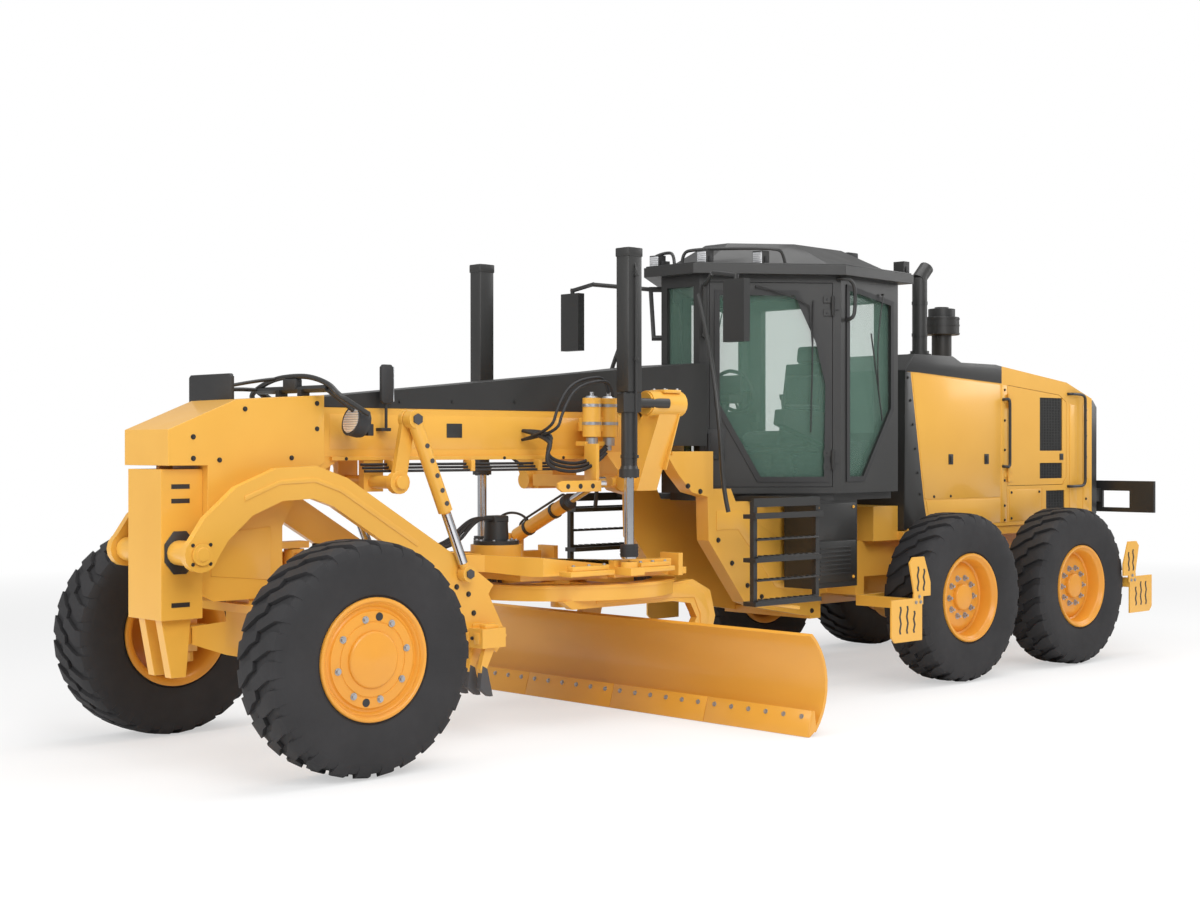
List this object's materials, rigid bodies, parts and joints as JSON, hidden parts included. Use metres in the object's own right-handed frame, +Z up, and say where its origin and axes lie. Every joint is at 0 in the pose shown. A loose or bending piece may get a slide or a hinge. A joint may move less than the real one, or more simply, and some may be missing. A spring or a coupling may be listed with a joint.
{
  "type": "motor grader",
  "caption": "Articulated six-wheel motor grader with a moldboard under its frame, a mid-mount scarifier, a front push block and a glazed cab.",
  "frame": {"origin": "on the ground, under the centre of the overall box", "axes": "+X forward, +Y to the machine's left, +Z up"},
  "size_m": [8.91, 3.658, 3.3131],
  "materials": {
    "yellow_paint": "semi-gloss",
    "black_paint": "satin",
    "tyre_rubber": "matt",
    "window_glass": "clear",
    "cylinder_chrome": "polished",
    "seat_cloth": "matt",
    "engine_iron": "matt",
    "lamp_lens": "clear",
    "blade_steel": "satin"
  },
  "bodies": {
    "rear_frame": {"rear_frame": "yellow_paint", "tandem_drives": "yellow_paint", "engine": "engine_iron", "hood": "yellow_paint", "hood_cowl": "black_paint", "rear_grille": "black_paint", "exhaust_stack": "black_paint", "air_precleaner": "black_paint"},
    "hood_door_left": {"hood_door_left": "yellow_paint"},
    "hood_door_right": {"hood_door_right": "yellow_paint"},
    "front_frame": {"front_frame": "yellow_paint", "drawbar_fork": "yellow_paint", "beam_cover": "black_paint", "nose_cover": "yellow_paint", "push_block": "yellow_paint", "front_axle": "yellow_paint", "blade_saddle": "yellow_paint", "accumulators": "yellow_paint", "cab_shell": "black_paint", "cab_roof": "black_paint", "cab_glass": "window_glass", "operator_seat": "seat_cloth", "cab_base": "black_paint", "mirrors": "black_paint", "lamps": "black_paint"},
    "cab_door_left": {"cab_door_left": "black_paint", "door_glass_left": "window_glass"},
    "cab_door_right": {"cab_door_right": "black_paint", "door_glass_right": "window_glass"},
    "lean_yoke_left": {"lean_yoke_left": "yellow_paint"},
    "lean_yoke_right": {"lean_yoke_right": "yellow_paint"},
    "lean_bar": {"lean_bar": "yellow_paint"},
    "knuckle_left": {"knuckle_left": "yellow_paint"},
    "knuckle_right": {"knuckle_right": "yellow_paint"},
    "drawbar_ball": {"drawbar_ball": "yellow_paint"},
    "drawbar": {"drawbar": "yellow_paint"},
    "circle": {"circle": "yellow_paint"},
    "blade_bracket": {"blade_bracket": "yellow_paint"},
    "moldboard": {"moldboard": "blade_steel"},
    "lift_barrel_left": {"lift_barrel_left": "black_paint"},
    "lift_barrel_right": {"lift_barrel_right": "black_paint"},
    "lift_rod_left": {"lift_rod_left": "cylinder_chrome"},
    "lift_rod_right": {"lift_rod_right": "cylinder_chrome"},
    "shift_barrel": {"shift_barrel": "yellow_paint"},
    "shift_rod": {"shift_rod": "cylinder_chrome"},
    "scarifier": {"scarifier": "yellow_paint"},
    "scarifier_crank": {"scarifier_crank": "yellow_paint"},
    "scarifier_struts": {"scarifier_struts": "yellow_paint"},
    "wheel_front_left": {"tyre_front_left": "tyre_rubber", "rim_front_left": "yellow_paint"},
    "wheel_front_right": {"tyre_front_right": "tyre_rubber", "rim_front_right": "yellow_paint"},
    "wheel_middle_left": {"tyre_middle_left": "tyre_rubber", "rim_middle_left": "yellow_paint"},
    "wheel_middle_right": {"tyre_middle_right": "tyre_rubber", "rim_middle_right": "yellow_paint"},
    "wheel_rear_left": {"tyre_rear_left": "tyre_rubber", "rim_rear_left": "yellow_paint"},
    "wheel_rear_right": {"tyre_rear_right": "tyre_rubber", "rim_rear_right": "yellow_paint"}
  },
  "joints": [
    {"name": "articulation", "type": "hinge", "parent": "rear_frame", "child": "front_frame", "pos_m": [-0.895, -0.211, 0.8], "axis": [0, 0, 1], "range_deg": [-20, 20]},
    {"name": "spin_middle_left", "type": "hinge", "parent": "rear_frame", "child": "wheel_middle_left", "pos_m": [-1.5835, 0.859, 0.645], "axis": [0, 1, 0], "continuous": true},
    {"name": "spin_middle_right", "type": "hinge", "parent": "rear_frame", "child": "wheel_middle_right", "pos_m": [-1.5835, -1.281, 0.645], "axis": [0, 1, 0], "continuous": true},
    {"name": "spin_rear_left", "type": "hinge", "parent": "rear_frame", "child": "wheel_rear_left", "pos_m": [-3.1065, 0.859, 0.645], "axis": [0, 1, 0], "continuous": true},
    {"name": "spin_rear_right", "type": "hinge", "parent": "rear_frame", "child": "wheel_rear_right", "pos_m": [-3.1065, -1.281, 0.645], "axis": [0, 1, 0], "continuous": true},
    {"name": "wheel_lean", "type": "hinge", "parent": "front_frame", "child": "lean_yoke_left", "pos_m": [3.778, 0.444, 0.645], "axis": [1, 0, 0], "range_deg": [-18, 18]},
    {"name": "wheel_lean_right", "type": "hinge", "parent": "front_frame", "child": "lean_yoke_right", "pos_m": [3.778, -0.866, 0.645], "axis": [1, 0, 0], "range_deg": [-18.5, 18.5]},
    {"name": "lean_bar_turn", "type": "hinge", "parent": "lean_yoke_left", "child": "lean_bar", "pos_m": [3.906, 0.444, 0.86], "axis": [1, 0, 0], "range_deg": [-18.5, 18.5]},
    {"name": "steering", "type": "hinge", "parent": "lean_yoke_left", "child": "knuckle_left", "pos_m": [3.778, 0.589, 0.645], "axis": [0, 0, 1], "range_deg": [-47.5, 47.5]},
    {"name": "steering_right", "type": "hinge", "parent": "lean_yoke_right", "child": "knuckle_right", "pos_m": [3.778, -1.011, 0.645], "axis": [0, 0, 1], "range_deg": [-48, 48]},
    {"name": "spin_front_left", "type": "hinge", "parent": "knuckle_left", "child": "wheel_front_left", "pos_m": [3.778, 0.859, 0.645], "axis": [0, 1, 0], "continuous": true},
    {"name": "spin_front_right", "type": "hinge", "parent": "knuckle_right", "child": "wheel_front_right", "pos_m": [3.778, -1.281, 0.645], "axis": [0, 1, 0], "continuous": true},
    {"name": "circle_shift", "type": "hinge", "parent": "front_frame", "child": "drawbar_ball", "pos_m": [3.505, -0.211, 1.12], "axis": [0, 0, -1], "range_deg": [-8, 8]},
    {"name": "blade_lift", "type": "hinge", "parent": "drawbar_ball", "child": "drawbar", "pos_m": [3.505, -0.211, 1.12], "axis": [0, 1, 0], "range_deg": [-15.5, 10.5]},
    {"name": "circle_turn", "type": "hinge", "parent": "drawbar", "child": "circle", "pos_m": [1.405, -0.211, 0.85], "axis": [0, 0, -1], "range_deg": [-45, 45]},
    {"name": "blade_tip", "type": "hinge", "parent": "circle", "child": "blade_bracket", "pos_m": [0.785, -0.211, 0.33], "axis": [0, 1, 0], "range_deg": [-5, 40]},
    {"name": "blade_sideshift", "type": "slide", "parent": "blade_bracket", "child": "moldboard", "axis": [0, 1, 0], "range_m": [-1, 0.61]},
    {"name": "lift_swing_left", "type": "hinge", "parent": "front_frame", "child": "lift_barrel_left", "pos_m": [1.505, 0.564, 2.08], "axis": [0.9323, -0.3616, 0], "range_deg": [-17, 17]},
    {"name": "lift_stroke_left", "type": "slide", "parent": "lift_barrel_left", "child": "lift_rod_left", "axis": [0, 0, 1], "range_m": [-0.56, 0.37]},
    {"name": "lift_swing_right", "type": "hinge", "parent": "front_frame", "child": "lift_barrel_right", "pos_m": [1.505, -0.986, 2.08], "axis": [0.9323, 0.3616, 0], "range_deg": [-17, 17]},
    {"name": "lift_stroke_right", "type": "slide", "parent": "lift_barrel_right", "child": "lift_rod_right", "axis": [0, 0, 1], "range_m": [-0.56, 0.37]},
    {"name": "shift_swing", "type": "hinge", "parent": "drawbar", "child": "shift_barrel", "pos_m": [1.455, -0.711, 1.15], "axis": [1, 0, 0], "range_deg": [-18.5, 27]},
    {"name": "shift_stroke", "type": "slide", "parent": "shift_barrel", "child": "shift_rod", "axis": [0, 0.915, 0.4034], "range_m": [-0.27, 0.27]},
    {"name": "scarifier_lift", "type": "hinge", "parent": "front_frame", "child": "scarifier", "pos_m": [4.355, -0.211, 1.205], "axis": [0, 1, 0], "range_deg": [-14, 0]},
    {"name": "scarifier_crank_turn", "type": "hinge", "parent": "front_frame", "child": "scarifier_crank", "pos_m": [3.055, -0.211, 1.58], "axis": [0, 1, 0], "range_deg": [-75, 0.5]},
    {"name": "scarifier_strut_turn", "type": "hinge", "parent": "scarifier_crank", "child": "scarifier_struts", "pos_m": [2.985, -0.211, 1.96], "axis": [0, 1, 0], "range_deg": [-0.5, 51]},
    {"name": "cab_door_left_swing", "type": "hinge", "parent": "front_frame", "child": "cab_door_left", "pos_m": [-0.43349, 0.63568, 2.25], "axis": [0, 0, 1], "range_deg": [0, 80]},
    {"name": "cab_door_right_swing", "type": "hinge", "parent": "front_frame", "child": "cab_door_right", "pos_m": [-0.43349, -1.05768, 2.25], "axis": [0, 0, 1], "range_deg": [-80, 0]},
    {"name": "hood_door_left_swing", "type": "hinge", "parent": "rear_frame", "child": "hood_door_left", "pos_m": [-2.954, 0.405, 1.87], "axis": [0, 0, 1], "range_deg": [-100, 0]},
    {"name": "hood_door_right_swing", "type": "hinge", "parent": "rear_frame", "child": "hood_door_right", "pos_m": [-2.954, -0.827, 1.87], "axis": [0, 0, 1], "range_deg": [0, 100]}
  ],
  "couplings": [
    {"joint": "wheel_lean_right", "follows": "wheel_lean", "ratio": 1},
    {"joint": "lean_bar_turn", "follows": "wheel_lean", "ratio": -1},
    {"joint": "steering_right", "follows": "steering", "ratio": 1},
    {"joint": "lift_swing_left", "follows": "circle_shift", "ratio": 2.1},
    {"joint": "lift_swing_right", "follows": "circle_shift", "ratio": 2.1},
    {"joint": "lift_stroke_left", "follows": "blade_lift", "m_per_rad": 1.975},
    {"joint": "lift_stroke_right", "follows": "blade_lift", "m_per_rad": 1.975},
    {"joint": "shift_swing", "follows": "blade_lift", "ratio": -1.7},
    {"joint": "shift_stroke", "follows": "circle_shift", "m_per_rad": -1.88},
    {"joint": "scarifier_crank_turn", "follows": "scarifier_lift", "ratio": 5.29},
    {"joint": "scarifier_strut_turn", "follows": "scarifier_lift", "ratio": -3.607}
  ]
}
